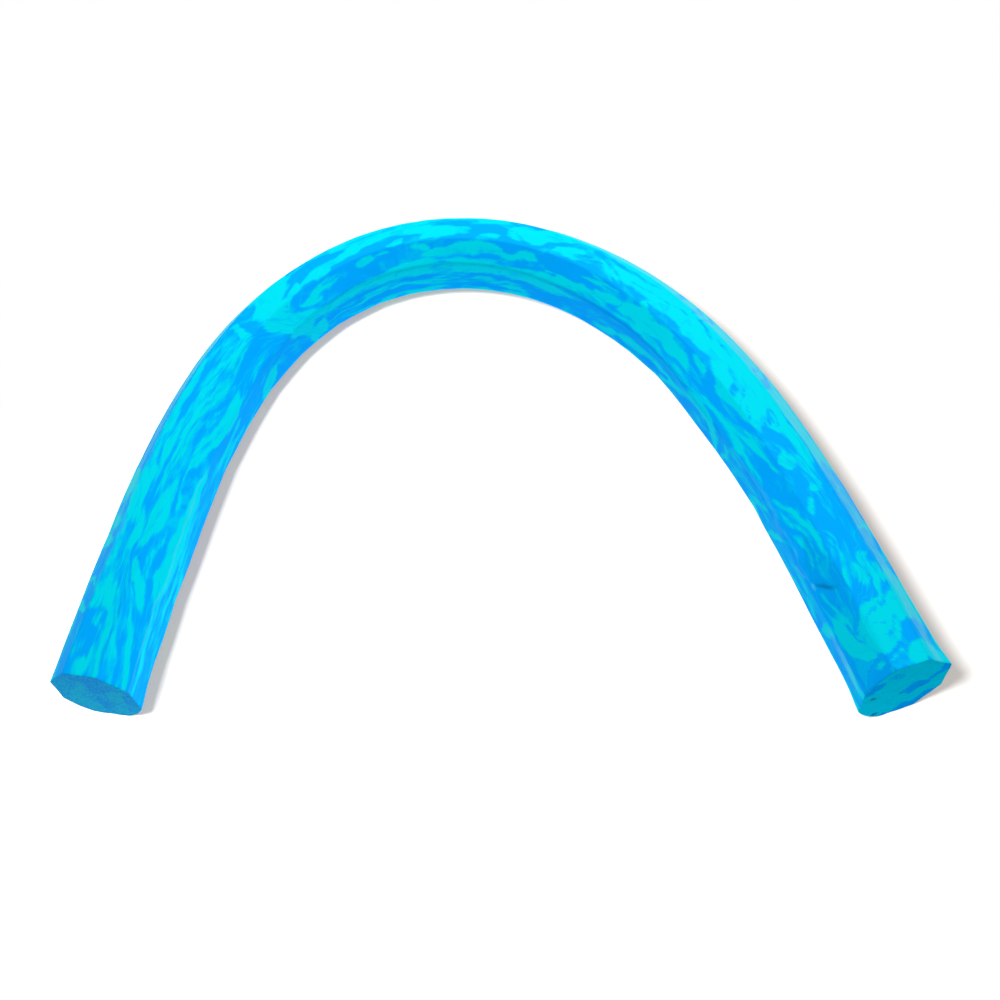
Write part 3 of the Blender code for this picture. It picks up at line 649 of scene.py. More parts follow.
grid_along = np.arange(0, LENGTH + FLOW_STEP, FLOW_STEP)
grid_across = np.linspace(0, ROUND_THE_BAR, FLOW_COLUMNS, endpoint=False)
cell_along, cell_across = (cells.ravel() for cells in np.meshgrid(grid_along, grid_across, indexing="ij"))
double_cos, double_sin = np.full(len(cell_along), CALM), np.zeros(len(cell_along))
for _, width, *places in all_strokes:
    if width < WIDEST_FIGURE:
        route = smooth_route(places)
        near = near_a_route(route, width * FLAT + 2 * FLOW_MARGIN, cell_along)
        across = unrolled_beside(cell_across[near], route)
        away, _, heading, _ = beside(route, cell_along[near], across)
        weight = np.exp(-(away / (FIGURE_CORE * width * FLAT + FLOW_MARGIN)) ** 2)
        double_cos[near] += weight * np.cos(2 * heading)
        double_sin[near] += weight * np.sin(2 * heading)
lean = np.clip(np.arctan2(double_sin, double_cos) / 2, -STEEPEST, STEEPEST)
slopes = np.tan(lean).reshape(len(grid_along), len(grid_across))

drift = [np.zeros(len(grid_across))]
for slope in slopes[1:]:
    came_from = grid_across - slope * FLOW_STEP
    carried = np.interp(came_from, grid_across, drift[-1], period=ROUND_THE_BAR)
    drift.append((carried - slope * FLOW_STEP) * (1 - FLOW_STEP / FORGET_OVER))
drift = np.array(drift)
print("threads drift by up to", round(float(abs(drift).max() * 1000), 1), "mm")


# %% Read the drift at every point and twist the bar by it
JUST_INSIDE = 1.001


def read_grid(grid, along, across):
    row = np.clip(along / FLOW_STEP, 0, len(grid) - JUST_INSIDE)
    column = np.mod(across, ROUND_THE_BAR) / ROUND_THE_BAR * len(grid_across)
    i, j = row.astype(int), column.astype(int) % len(grid_across)
    u, v = row - i, column - np.floor(column)
    after = (j + 1) % len(grid_across)
    first = grid[i, j] * (1 - v) + grid[i, after] * v
    second = grid[i + 1, j] * (1 - v) + grid[i + 1, after] * v
    return first * (1 - u) + second * u


twist = (round_share * FLAT + read_grid(drift, astray_along, astray_across)) / ROUND_THE_BAR * 2 * math.pi
around = ROUND_THE_BAR / (2 * math.pi)
thread_place = np.column_stack([place_share * LENGTH, around * np.cos(twist), around * np.sin(twist)])
print("twisted table", thread_place.shape)

# %% [markdown]
# The sawn faces
#
# Both ends were sawn freehand, so neither is square: each leans back at the top and is turned a
# little. A shear of the last few centimetres gives the slant and leaves the sides as they are. The
# saw leaves a face that waves a little, and where it hit large bubbles it opened pits. The colours
# show there as blotches: the same streaks, seen end on. They are painted like the strokes, with
# places given outwards and up from the middle of the face, as shares of half the bar.

# %% Slant the ends, then wave and pit them
LEFT_CUT = (math.radians(2.6), math.radians(4.2))
RIGHT_CUT = (math.radians(1.2), math.radians(7.4))
SHEAR_REACH = 0.060
# a pit: outwards and up from the middle of the face, radius, depth
PITS_ON_THE_RIGHT = (
    (-0.0277, -0.0007, 0.0026, 0.0022),
    (-0.0016, -0.0058, 0.0016, 0.0012),
    (0.0171, -0.0034, 0.0016, 0.0013),
    (-0.0193, -0.0292, 0.0030, 0.0026),
)
PIT_SQUASH = 1.4
SAW_WAVES = ((0.00010, 0.0040, 1.0, 8), (0.00005, 0.0012, 1.0, 9))


def from_pit(points, pit):
    """How far the points are from a pit's middle, as a share of its radius."""
    out, up, radius, _ = pit
    return np.hypot(points[:, 1] - out, (points[:, 2] - up) * PIT_SQUASH) / radius


work = straight.copy()
for side, (turn, tip) in ((-1, LEFT_CUT), (1, RIGHT_CUT)):
    from_end = LENGTH / 2 - side * work[:, 0]
    weight = np.clip(1 - from_end / SHEAR_REACH, 0, 1) ** 2
    work[:, 0] -= side * weight * (math.tan(turn) * work[:, 1] + math.tan(tip) * work[:, 2])
on_cut = np.flatnonzero(which_cut)
work[on_cut, 0] = led_astray(work[on_cut, 0], straight[on_cut], SAW_WAVES)
for pit in PITS_ON_THE_RIGHT:
    depth = pit[3]
    work[:, 0] -= depth * np.clip(1 - from_pit(work, pit) ** 2, 0, 1) * (which_cut > 0)
print("pits:", len(PITS_ON_THE_RIGHT))

# %% Blotches on the sawn faces
LEFT_BLOTCHES_WITH_SHARES = (
    (DARK, 0.30, (-0.80, 0.30), (-0.20, 0.42), (0.30, 0.55)),
    (DARK, 0.20, (-0.70, 0.84), (0.00, 0.90), (0.60, 0.86)),
    (LIGHT, 0.17, (0.12, 0.70), (0.42, 0.05), (0.72, -0.60)),
    (LIGHT, 0.24, (0.44, -0.20), (0.34, -0.58), (0.20, -0.94)),
    (LIGHT, 0.22, (-0.52, 0.46), (-0.60, 0.05), (-0.62, -0.42)),
    (LIGHT, 0.12, (-0.20, -0.70), (-0.36, -0.74), (-0.56, -0.62)),
    (DARK, 0.14, (-0.02, 0.00), (-0.12, -0.42), (-0.02, -0.80)),
    (DARK, 0.16, (-0.92, 0.30), (-0.88, -0.10), (-0.82, -0.40)),
)
RIGHT_BLOTCHES_WITH_SHARES = (
    (LIGHT, 1.60, (-2.00, 0.00), (0.00, 0.00), (2.00, 0.00)),
    (DARK, 0.12, (-0.98, 0.20), (-0.82, 0.40), (-0.60, 0.60)),
    (DARK, 0.19, (-0.02, -0.24), (0.28, -0.10), (0.60, 0.10)),
    (DARK, 0.07, (0.52, 0.06), (0.72, 0.20), (0.90, 0.36)),
    (DARK, 0.13, (0.78, 0.34), (0.92, 0.44), (1.06, 0.50)),
    (DARK, 0.20, (-0.56, -1.06), (-0.10, -1.00), (0.32, -0.88), (0.72, -0.66), (1.04, -0.30)),
    (EVEN, 0.15, (-0.46, 0.62), (-0.28, 0.70), (-0.06, 0.64)),
)
BLOTCH_ASTRAY_OUT = ((0.0016, 0.0040, 1.0, 12),)
BLOTCH_ASTRAY_UP = ((0.0016, 0.0040, 1.0, 13),)


def blotch(stroke):
    """A blotch as a stroke: its shares of half the bar become shares of the length and flats."""
    colour, width, *places = stroke
    turned = [(out * HALF_ACROSS / LENGTH, up * HALF_ACROSS / FLAT) for out, up in places]
    return (colour, width * HALF_ACROSS / FLAT, *turned)


for side, blotches in ((-1, LEFT_BLOTCHES_WITH_SHARES), (1, RIGHT_BLOTCHES_WITH_SHARES)):
    face = np.flatnonzero(which_cut == side)
    out = led_astray(straight[face, 1], straight[face], BLOTCH_ASTRAY_OUT)
    up = led_astray(straight[face, 2], straight[face], BLOTCH_ASTRAY_UP)
    painted = np.full(len(face), EVEN)
    for stroke in blotches:
        lay_stroke(painted, blotch(stroke), out, up)
    tone[face] = painted
print("blotches:", len(LEFT_BLOTCHES_WITH_SHARES) + len(RIGHT_BLOTCHES_WITH_SHARES))

# %% [markdown]
# Small unevenness, wear and painted light
#
# Foam never comes out of the die perfectly flat. Its sides rise and fall by a few tenths of a
# millimetre over a few centimetres, and its edges waver. Handling has left three shallow dents. Close
# to the saw cuts a few corners of the bar stand a little fuller. The edges are rubbed pale in places.
# A painted sheen makes the outer slope paler along its length. Painted shade darkens the three dents,
# the whole left cut, the pits and, a little, the inner slope before the right end. Pale wear and
# painted sheen are written as a share above nothing, and painted shade as one below.

# %% Waver of the sides, dents, wear and painted light
# a dent or corner: share of the length, flats round, radius, depth or height
DENTS = (
    (0.9305, 1.72, 0.0055, 0.0012),
    (0.9360, 0.37, 0.0025, 0.0006),
    (0.0670, 1.05, 0.0030, 0.0004),
)
FULL_CORNERS = (
    (1.0000, 3.50, 0.0160, 0.0045),
    (1.0000, 7.00, 0.0140, 0.0020),
    (0.0000, 3.50, 0.0150, 0.0038),
    (0.0000, 5.50, 0.0160, 0.0036),
)
# a mark: pale wear and painted sheen above nothing, painted shade below, as a colour; then a stroke
WEAR_SHEEN_AND_SHADE_WITH_SHARES = (
    # painted sheen: the outer slope made paler all along
    (0.66, 0.42, (0.075, -0.50), (0.140, -0.50), (0.400, -0.50), (0.800, -0.50), (1.060, -0.50)),
    # pale wear on the edges and on a few spots
    (0.3, 0.030, (-0.02, 2.02), (0.05, 2.00), (0.10, 1.99), (0.18, 1.97)),
    (0.3, 0.022, (0.790, 1.97), (0.82, 1.95), (0.86, 1.95), (0.925, 1.96)),
    (0.3, 0.030, (0.050, 0.00), (0.12, 0.01), (0.20, 0.00)),
    (0.5, 0.060, (0.905, 2.25), (0.912, 2.15), (0.918, 2.05)),
    (0.5, 0.160, (0.952, 2.45), (0.970, 2.30), (0.998, 2.35)),
    # painted shade: the inner slope darkened a little before the right end
    (-0.16, 0.48, (0.890, 1.52), (0.950, 1.52), (1.050, 1.52)),
    # painted shade in and beside the largest dent
    (-0.75, 0.055, (0.925, 1.90), (0.929, 1.74), (0.932, 1.54), (0.936, 1.26)),
    # a pale spot at the tip of that mark
    (0.8, 0.030, (0.924, 1.90), (0.927, 1.93), (0.930, 1.95)),
    # painted shade in the two smaller dents
    (-0.5, 0.035, (0.935, 0.34), (0.936, 0.37), (0.937, 0.40)),
    (-0.5, 0.025, (0.066, 1.03), (0.067, 1.05), (0.068, 1.07)),
)
WAVER_LAYERS = ((0.00016, 0.0120, 2.2, 5), (0.00006, 0.0040, 1.6, 6))
SKIN_FROM_SHARE = 0.60
SKIN_DEPTH_SHARE = 0.37
# painted shade: how much the whole left cut is darkened
LEFT_CUT_PAINTED_SHADE = 0.42
# painted shade in the pits: how dark, and how far past their rims
PIT_PAINTED_SHADE = 0.8
PIT_PAINTED_SHADE_REACH = 1.3

waver = led_astray(0.0, straight, WAVER_LAYERS)
spread = np.hypot(straight[:, 1], straight[:, 2])
near_the_skin = np.clip((spread / HALF_ACROSS - SKIN_FROM_SHARE) / SKIN_DEPTH_SHARE, 0, 1)
outwards = straight[:, 1:] * (near_the_skin / spread.clip(TOUCHING))[:, None]
work[:, 1:] += outwards * waver[:, None]
hollows = DENTS + tuple((share, turn, radius, -height) for share, turn, radius, height in FULL_CORNERS)
for share, turn, radius, depth in hollows:
    away = np.hypot((place_share - share) * LENGTH, (round_share - turn) * FLAT) / radius
    work[:, 1:] -= outwards * (depth * np.exp(-away ** 2))[:, None]
# marks of pale wear, painted sheen and painted shade
wear_sheen_and_shade_marks = np.zeros(len(straight))
for stroke in WEAR_SHEEN_AND_SHADE_WITH_SHARES:
    lay_stroke(wear_sheen_and_shade_marks, stroke, astray_along, astray_across)
# painted shade: the whole left cut is darkened
wear_sheen_and_shade_marks[on_cut] = np.where(which_cut[on_cut] < 0, -LEFT_CUT_PAINTED_SHADE, 0)
# painted shade in and around the pits of the right cut
for pit in PITS_ON_THE_RIGHT:
    wear_sheen_and_shade_marks -= PIT_PAINTED_SHADE * np.clip(PIT_PAINTED_SHADE_REACH - from_pit(straight, pit), 0, 1) * (which_cut > 0)
print("waver from", round(waver.min() * 1000, 2), "to", round(waver.max() * 1000, 2), "mm")

# %% [markdown]
# Bending
#
# The bar is bent twice: a long, wide bend left of its middle and a slight one on the right arm. Along
# each the heading turns by a smooth step. On the inner side the foam is squeezed, so it swells
# towards its upper and lower edges and folds into shallow creases. All this repeats the packed
# model's law, which the fine skin has to follow. Three folds on the left arm are added to it here,
# two new ones and one that deepens a crease, because the inner outline shows them.

# %% The squeezed inner side
# a bend: the turn, the share of the length at its middle, and its spread
BENDS_WITH_SHARES = ((math.radians(137.7), 0.440, 0.150), (math.radians(19.6), 0.737, 0.096))
LAW_STEPS = 2000
INNER_SWELL = 0.0042
CREASE_DEPTH = 0.0015
CREASE_REACH = 0.022
CREASE_PLACE_AND_DEPTH_SHARES = (
    (0.030, 0.7), (0.077, 0.8), (0.189, 0.4), (0.320, 0.9), (0.410, 1.0), (0.671, 0.4), (0.703, 0.7),
    (0.846, 1.0),
)
SKIN_FOLD_PLACE_AND_DEPTH_SHARES = ((0.189, 0.6), (0.272, 1.0), (0.367, 0.7))
FULL_RUN_RISE = 0.0018
FULL_RUN_REACH = 0.050
FULL_RUN_PLACE_SHARE = 0.768


def middle_line():
    along = np.linspace(-ACROSS_FLATS, LENGTH + ACROSS_FLATS, LAW_STEPS + 1)
    heading = np.full(len(along), sum(turn for turn, _, _ in BENDS_WITH_SHARES) / 2)
    for turn, place, spread in BENDS_WITH_SHARES:
        steps = [math.erf((s / LENGTH - place) / (spread * math.sqrt(2))) for s in along]
        heading = heading - turn * 0.5 * (1 + np.array(steps))
    step = along[1] - along[0]
    mean = (heading[1:] + heading[:-1]) / 2
    x = np.concatenate(([0], np.cumsum(np.cos(mean) * step)))
    y = np.concatenate(([0], np.cumsum(np.sin(mean) * step)))
    return along, x, y, heading


def inner_hollow(place):
    distance = (place - FULL_RUN_PLACE_SHARE * LENGTH) / FULL_RUN_REACH
    hollow = -FULL_RUN_RISE * np.exp(-distance ** 2)
    for share, depth in CREASE_PLACE_AND_DEPTH_SHARES + SKIN_FOLD_PLACE_AND_DEPTH_SHARES:
        hollow = hollow + CREASE_DEPTH * depth * np.exp(-np.abs(place - share * LENGTH) / CREASE_REACH)
    return hollow


def squeeze(points, line):
    along, _, _, heading = line
    tightness = -np.gradient(heading, along)
    place = points[:, 0] + LENGTH / 2
    inward = -points[:, 1]
    squeezed = np.interp(place, along, tightness / tightness.max())
    past_flat = np.clip((inward - HALF_FLAT) / (HALF_ACROSS - HALF_FLAT), 0, 1)
    up_or_down = np.clip(points[:, 2] / HALF_FLAT, -1, 1)
    points[:, 2] += INNER_SWELL * squeezed * past_flat * up_or_down
    points[:, 1] += np.maximum(inward / HALF_ACROSS, 0) ** 2 * inner_hollow(place)


def bend(points, line):
    along, x, y, heading = line
    place, outward = points[:, 0] + LENGTH / 2, points[:, 1].copy()
    turned = np.interp(place, along, heading)
    points[:, 0] = np.interp(place, along, x) - np.sin(turned) * outward
    points[:, 1] = np.interp(place, along, y) + np.cos(turned) * outward


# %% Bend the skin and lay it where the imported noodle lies
line = middle_line()
squeeze(work, line)
bend(work, line)
along, x, y, _ = line
ends = [np.array([np.interp(s, along, x), np.interp(s, along, y)]) for s in (0, LENGTH)]
chord = math.atan2(*(ends[1] - ends[0])[::-1])
turn_back = np.array([[math.cos(chord), math.sin(chord)], [-math.sin(chord), math.cos(chord)]])
work[:, :2] = work[:, :2] @ turn_back.T
middle = (work.min(axis=0) + work.max(axis=0)) / 2
cad_middle = (cad_low + cad_high) / 2
work[:, :2] += np.array(cad_middle[:2]) - middle[:2]
work[:, 2] += HALF_ACROSS
work[:, 2] = work[:, 2].clip(0, None)
mesh.vertices.foreach_set("co", work.ravel())
mesh.update()
print("dressed skin", (work.max(axis=0) - work.min(axis=0)).round(4), "m")


# %% Keep what the materials read on the mesh
def keep(name, kind, values, channel):
    layer = mesh.attributes.new(name, kind, "POINT")
    layer.data.foreach_set(channel, np.asarray(values, np.float32).ravel())


keep("straight_bar", "FLOAT_VECTOR", straight, "vector")
keep("thread_place", "FLOAT_VECTOR", thread_place, "vector")
keep("leading_colour", "FLOAT", tone, "value")
# the marks of pale wear, painted sheen and painted shade
keep("wear_sheen_and_shade", "FLOAT", wear_sheen_and_shade_marks, "value")
mesh.shade_smooth()

noodle = bpy.data.objects.new("marbled_noodle", mesh)
bpy.context.scene.collection.objects.link(noodle)
print(noodle.name, "triangles:", sum(len(polygon.vertices) - 2 for polygon in mesh.polygons))

# %% [markdown]
# The skin's finish
#
# Extruded polyethylene foam has a thin, closed skin: satin, with no sharp highlight, and a little
# whitish where one looks along it. Both colours are flat and strong. The material adds the threads
# to the painted figures and turns the sum into the two colours, with a wide, soft step between them.
# Over that it mixes the pale of worn edges and of a painted sheen on the outer slope, and painted shade.

# %% A small helper for node trees
# the colour sockets of a Mix node, by number, because their names are shared
FIRST_COLOUR = 6
SECOND_COLOUR = 7
MIXED_COLOUR = 2


class Finish:
    """A new material, with its node tree and its surface shader at hand."""

    def __init__(self, name):
        self.material = bpy.data.materials.new(name)
        self.material.use_nodes = True
        self.tree = self.material.node_tree
        self.surface = self.tree.nodes["Principled BSDF"]

    def node(self, kind, **settings):
        made = self.tree.nodes.new(kind)
        for name, value in settings.items():
            setattr(made, name, value)
        return made

    def put(self, value, socket):
        if isinstance(value, bpy.types.NodeSocket):
            self.tree.links.new(value, socket)
        else:
            socket.default_value = value

    def math(self, operation, first, second):
        made = self.node("ShaderNodeMath", operation=operation)
        self.put(first, made.inputs[0])
        self.put(second, made.inputs[1])
        return made.outputs[0]

    def attribute(self, name, output):
        return self.node("ShaderNodeAttribute", attribute_name=name).outputs[output]

    def stretched(self, vector, scale):
        made = self.node("ShaderNodeMapping")
        self.put(vector, made.inputs["Vector"])
        made.inputs["Scale"].default_value = scale
        return made.outputs[0]

    def noise(self, vector, scale, detail=2.0, roughness=0.5, distortion=0.0):
        made = self.node("ShaderNodeTexNoise")
        self.put(vector, made.inputs["Vector"])
        made.inputs["Scale"].default_value = scale
        made.inputs["Detail"].default_value = detail
        made.inputs["Roughness"].default_value = roughness
        made.inputs["Distortion"].default_value = distortion
        return made.outputs["Fac"]

    def between(self, value, low, high, start=0.0, end=1.0):
        made = self.node("ShaderNodeMapRange")
        self.put(value, made.inputs["Value"])
        for name, number in zip(("From Min", "From Max", "To Min", "To Max"), (low, high, start, end)):
            made.inputs[name].default_value = number
        return made.outputs[0]

    def mix(self, share, first, second):
        made = self.node("ShaderNodeMix", data_type="RGBA")
        self.put(share, made.inputs[0])
        self.put(first, made.inputs[FIRST_COLOUR])
        self.put(second, made.inputs[SECOND_COLOUR])
        return made.outputs[MIXED_COLOUR]

    def give(self, name, value):
        self.put(value, self.surface.inputs[name])

    def bumps(self, height, strength, distance):
        made = self.node("ShaderNodeBump")
        made.inputs["Strength"].default_value = strength
        made.inputs["Distance"].default_value = distance
        self.put(height, made.inputs["Height"])
        self.give("Normal", made.outputs[0])


# %% The marbled skin
SKY_BLUE = (0.000, 0.430, 1.000, 1.0)
SEA_CYAN = (0.000, 0.760, 0.850, 1.0)
# the pale of rubbed edges and of the painted sheen on the outer slope; the dark of painted shade
WEAR_AND_SHEEN_PALE = (0.160, 0.660, 0.800, 1.0)
PAINTED_SHADE_BLUE = (0.000, 0.180, 0.320, 1.0)
THREAD_SCALE = (25.0, 140.0, 140.0)
FINE_THREAD_SCALE = (60.0, 400.0, 400.0)
# grain of the patches in the pale wear and painted sheen
PALE_PATCH_SCALE = (60.0, 300.0, 300.0)
SKIN_GRAIN = 900.0
THREAD_PULL = 1.10
FINE_THREAD_PULL = 0.55
COLOUR_STEP = 0.90
NOISE_SPAN = (0.30, 0.70)
# patches in the pale wear and painted sheen: their spread and fullness
PALE_PATCH_SPAN = (0.40, 0.62)
PALE_PATCH_FULLNESS = (0.5, 1.0)
SKIN_ROUGHNESS = (0.50, 0.64)


def marbled_skin():
    skin = Finish("marbled_foam_skin")
    drifted = skin.attribute("thread_place", "Vector")
    coarse = skin.stretched(drifted, THREAD_SCALE)
    coarse = skin.noise(coarse, 1.0, detail=3.0, roughness=0.55, distortion=0.35)
    coarse = skin.between(coarse, *NOISE_SPAN, -THREAD_PULL, THREAD_PULL)
    fine = skin.stretched(drifted, FINE_THREAD_SCALE)
    fine = skin.noise(fine, 1.0, detail=2.0, roughness=0.60, distortion=0.40)
    fine = skin.between(fine, *NOISE_SPAN, -FINE_THREAD_PULL, FINE_THREAD_PULL)
    total = skin.math("ADD", skin.attribute("leading_colour", "Fac"), skin.math("ADD", coarse, fine))
    colour = skin.mix(skin.between(total, -COLOUR_STEP, COLOUR_STEP), SKY_BLUE, SEA_CYAN)
    # marks of pale wear, painted sheen and painted shade
    wear_sheen_and_shade = skin.attribute("wear_sheen_and_shade", "Fac")
    place = skin.attribute("straight_bar", "Vector")
    patchy = skin.noise(skin.stretched(place, PALE_PATCH_SCALE), 1.0, detail=3.0)
    patchy = skin.between(patchy, *PALE_PATCH_SPAN, *PALE_PATCH_FULLNESS)
    # pale wear and painted sheen, in patches
    colour = skin.mix(skin.math("MULTIPLY", skin.between(wear_sheen_and_shade, 0.0, 1.0), patchy), colour, WEAR_AND_SHEEN_PALE)
    # painted shade in the dents and on the inner slope before the right end
    colour = skin.mix(skin.between(wear_sheen_and_shade, 0.0, -1.0), colour, PAINTED_SHADE_BLUE)
    grain = skin.noise(place, SKIN_GRAIN)
    skin.give("Base Color", colour)
    skin.give("Roughness", skin.between(grain, *NOISE_SPAN, *SKIN_ROUGHNESS))
    skin.give("Specular IOR Level", 0.008)
    skin.give("Sheen Weight", 0.01)
    skin.give("Sheen Roughness", 0.25)
    skin.bumps(grain, strength=0.12, distance=0.0004)
    return skin.material


mesh.materials.append(marbled_skin())

# %% [markdown]
# The sawn foam
#
# A saw opens the cells, so the cut is rougher and duller than the skin. The blotches are frayed by
# two noises, a coarse one for their outlines and a fine one for the torn cells. Painted shade darkens
# the left cut, where the blotches fray more, and the pits in the right one.

# %% The sawn faces' finish
SAWN_BLUE = (0.000, 0.390, 1.000, 1.0)
SAWN_TEAL = (0.000, 0.720, 0.850, 1.0)
CELL_SHADE = (0.000, 0.220, 0.420, 1.0)
# dark blue for the painted shade on the left cut and in the pits
SAWN_PAINTED_SHADE = (0.050, 0.080, 0.150, 1.0)
FRAY_GRAIN = 430.0
CELL_GRAIN = 1400.0
# how much more the blotches fray on the left cut with its painted shade
FRAYED_UNDER_PAINTED_SHADE = 3.2
SAWN_COLOUR_STEP = 0.85
SHADED_CELLS = 0.45
FRAY_SPAN = (0.35, 0.65)
CELL_SPAN = (0.35, 0.70)
SAWN_ROUGHNESS = (0.65, 0.85)


def sawn_foam():
    cut = Finish("sawn_foam")
    place = cut.attribute("straight_bar", "Vector")
    flat_place = cut.stretched(place, (0.0, 1.0, 1.0))
    # painted shade of the left cut and of the pits
    sawn_shade = cut.between(cut.attribute("wear_sheen_and_shade", "Fac"), 0.0, -1.0)
    rough = cut.noise(flat_place, FRAY_GRAIN, detail=4.0, roughness=0.75, distortion=0.4)
    rough = cut.between(rough, *FRAY_SPAN, -1.0, 1.0)
    frayed = cut.math("MULTIPLY", rough, cut.between(sawn_shade, 0.0, LEFT_CUT_PAINTED_SHADE, 1.0, FRAYED_UNDER_PAINTED_SHADE))
    total = cut.math("ADD", cut.attribute("leading_colour", "Fac"), frayed)
    colour = cut.mix(cut.between(total, -SAWN_COLOUR_STEP, SAWN_COLOUR_STEP), SAWN_BLUE, SAWN_TEAL)
    # the painted shade darkens the colour
    colour = cut.mix(sawn_shade, colour, SAWN_PAINTED_SHADE)
    cells = cut.noise(place, CELL_GRAIN, roughness=0.6)
    colour = cut.mix(cut.between(cells, *CELL_SPAN, 0.0, SHADED_CELLS), colour, CELL_SHADE)
    cut.give("Base Color", colour)
    cut.give("Roughness", cut.between(cells, *NOISE_SPAN, *SAWN_ROUGHNESS))
    cut.give("Specular IOR Level", 0.0)
    cut.bumps(cells, strength=0.5, distance=0.0006)
    return cut.material


mesh.materials.append(sawn_foam())
print("finishes:", [material.name for material in mesh.materials])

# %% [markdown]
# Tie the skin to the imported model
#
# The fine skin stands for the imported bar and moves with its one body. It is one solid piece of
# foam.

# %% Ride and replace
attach(noodle, "root")
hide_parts("foam_noodle")
print("the skin replaces foam_noodle")

# %% [markdown]
# The studio
#
# The noodle lies on a white floor under soft light. A broad lamp up behind the arch lights the foam,
# so its top is bright and the sides towards the camera are darker. A second lamp, high in front of
# the left arm, lights only the floor and throws the soft shadow to the right. The paper glows for the
# rays that show it, which keeps that shadow pale and puts no light on the foam. Further out, past the
# shadow, it is shown plain white.

# %% Floor
FLOOR_SIZE = 24
FLOOR_DROP = 0.0002
PLAIN_ROUND = (0.02, -0.12, 0.0)
PLAIN_FROM = 0.49
PLAIN_BEYOND = 0.62
FLOOR_PAPER = (0.370, 0.370, 0.370, 1.0)
FLOOR_BOUNCE = (0.400, 0.410, 0.450, 1.0)
FLOOR_GLOW = (0.440, 0.385, 0.315, 1.0)
WHITE = (1.0, 1.0, 1.0, 1.0)


def rays_that_show(tree):
    """1 for the rays that show a background: the camera's, reflections and light through glass."""
    path = tree.nodes.new("ShaderNodeLightPath")
    shown = path.outputs["Is Camera Ray"]
    for other in ("Is Glossy Ray", "Is Transmission Ray"):
        either = tree.nodes.new("ShaderNodeMath")
        either.operation = "MAXIMUM"
        tree.links.new(shown, either.inputs[0])
        tree.links.new(path.outputs[other], either.inputs[1])
        shown = either.outputs[0]
    return shown


def floor_finish():
    paper = Finish("white_paper")
    shown = rays_that_show(paper.tree)
    paper.give("Base Color", paper.mix(shown, FLOOR_BOUNCE, FLOOR_PAPER))
    paper.give("Roughness", 0.9)
    paper.give("Specular IOR Level", 0.0)
    paper.give("Emission Color", FLOOR_GLOW)
    paper.give("Emission Strength", shown)
    place = paper.node("ShaderNodeTexCoord").outputs["Object"]
    distance = paper.node("ShaderNodeVectorMath", operation="DISTANCE")
    paper.put(place, distance.inputs[0])
    distance.inputs[1].default_value = PLAIN_ROUND
    far = paper.between(distance.outputs["Value"], PLAIN_FROM, PLAIN_BEYOND)
    glow = paper.node("ShaderNodeEmission")
    glow.inputs["Color"].default_value = WHITE
    blend = paper.node("ShaderNodeMixShader")
    paper.put(paper.math("MULTIPLY", far, shown), blend.inputs[0])
    paper.put(paper.surface.outputs[0], blend.inputs[1])
    paper.put(glow.outputs[0], blend.inputs[2])
    paper.put(blend.outputs[0], paper.tree.nodes["Material Output"].inputs["Surface"])
    return paper.material


bpy.ops.mesh.primitive_plane_add(size=FLOOR_SIZE, location=(0, 0, -FLOOR_DROP))
floor = bpy.context.object
floor.name = "floor"
floor.data.materials.append(floor_finish())
print("floor", FLOOR_SIZE, "m across")


# %% Lamps, each for its own receiver
KEY_PLACE = (0.12, 0.94, 1.78)
KEY_AIM = (0, 0.05, 0)
KEY_POWER = 31
KEY_SIZE = 0.60
KEY_COLOUR = (0.97, 1.0, 0.96)
CASTER_PLACE = (-0.46, -0.50, 1.26)
CASTER_AIM = (0, 0, 0)
CASTER_POWER = 66
CASTER_SIZE = 0.47
CASTER_COLOUR = (1, 1, 1)


def only_for(thing):
    group = bpy.data.collections.new("lit_" + thing.name)
    group.objects.link(thing)
    return group


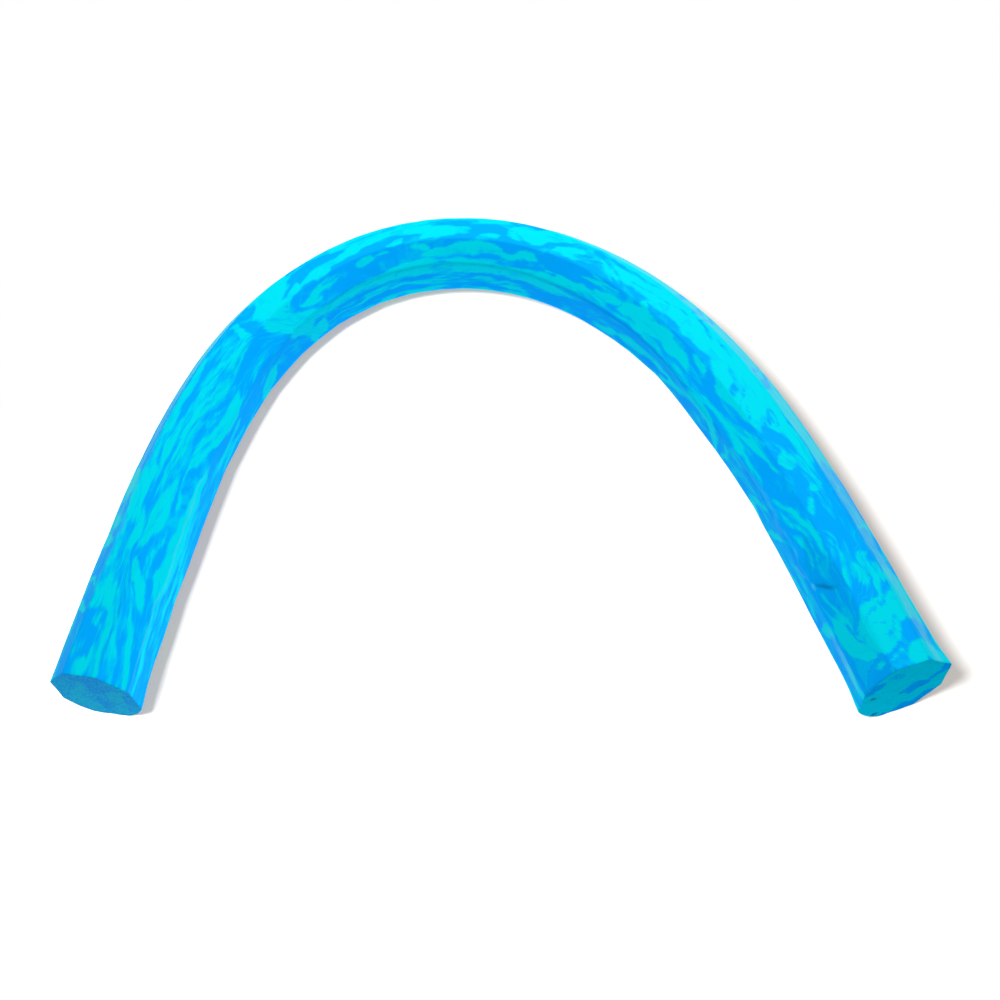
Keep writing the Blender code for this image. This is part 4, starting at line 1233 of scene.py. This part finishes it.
def disk_lamp(name, place, aim, power, size, colour, receiver):
    light = bpy.data.lights.new(name, "AREA")
    light.shape = "DISK"
    light.size = size
    light.energy = power
    light.color = colour
    holder = bpy.data.objects.new(name, light)
    holder.location = place
    holder.rotation_euler = (Vector(aim) - Vector(place)).to_track_quat("-Z", "Y").to_euler()
    bpy.context.scene.collection.objects.link(holder)
    holder.light_linking.receiver_collection = receiver
    return light


for_floor = only_for(floor)
for_foam = only_for(noodle)
key = disk_lamp("key_lamp", KEY_PLACE, KEY_AIM, KEY_POWER, KEY_SIZE, KEY_COLOUR, for_foam)
caster = disk_lamp(
    "shadow_lamp", CASTER_PLACE, CASTER_AIM, CASTER_POWER, CASTER_SIZE, CASTER_COLOUR, for_floor
)
print("lamps:", key.name, caster.name)

# %% World
ROOM_LIGHT = (0.280, 0.325, 0.420, 1.0)
world = bpy.data.worlds.new("white_room")
world.use_nodes = True
bpy.context.scene.world = world
shade = world.node_tree.nodes.new("ShaderNodeMix")
shade.data_type = "RGBA"
shade.inputs[FIRST_COLOUR].default_value = ROOM_LIGHT
shade.inputs[SECOND_COLOUR].default_value = WHITE
world.node_tree.links.new(rays_that_show(world.node_tree), shade.inputs[0])
background = world.node_tree.nodes["Background"]
world.node_tree.links.new(shade.outputs[MIXED_COLOUR], background.inputs["Color"])
print("room light", ROOM_LIGHT[:3])

# %% [markdown]
# The camera
#
# The photograph looks down at the arch from over its open side. The camera stands where the outline,
# the long edges and both sawn ends fall on their places in it.

# %% Camera
CAMERA_PLACE = Vector((0.0883, -0.6122, 0.8609))
LENS = 36.44
SENSOR_WIDTH = 36
YAW, PITCH, ROLL = math.radians(8.678), math.radians(56.995), math.radians(-8.674)
camera_data = bpy.data.cameras.new("camera")
camera_data.lens = LENS
camera_data.sensor_width = SENSOR_WIDTH
camera = bpy.data.objects.new("camera", camera_data)
turned = Matrix.Rotation(YAW, 4, "Z") @ Matrix.Rotation(math.pi / 2 - PITCH, 4, "X")
camera.matrix_world = Matrix.Translation(CAMERA_PLACE) @ turned @ Matrix.Rotation(ROLL, 4, "Z")
bpy.context.scene.collection.objects.link(camera)
bpy.context.scene.camera = camera
bpy.context.scene.view_settings.view_transform = "Standard"
print("camera at", list(CAMERA_PLACE))
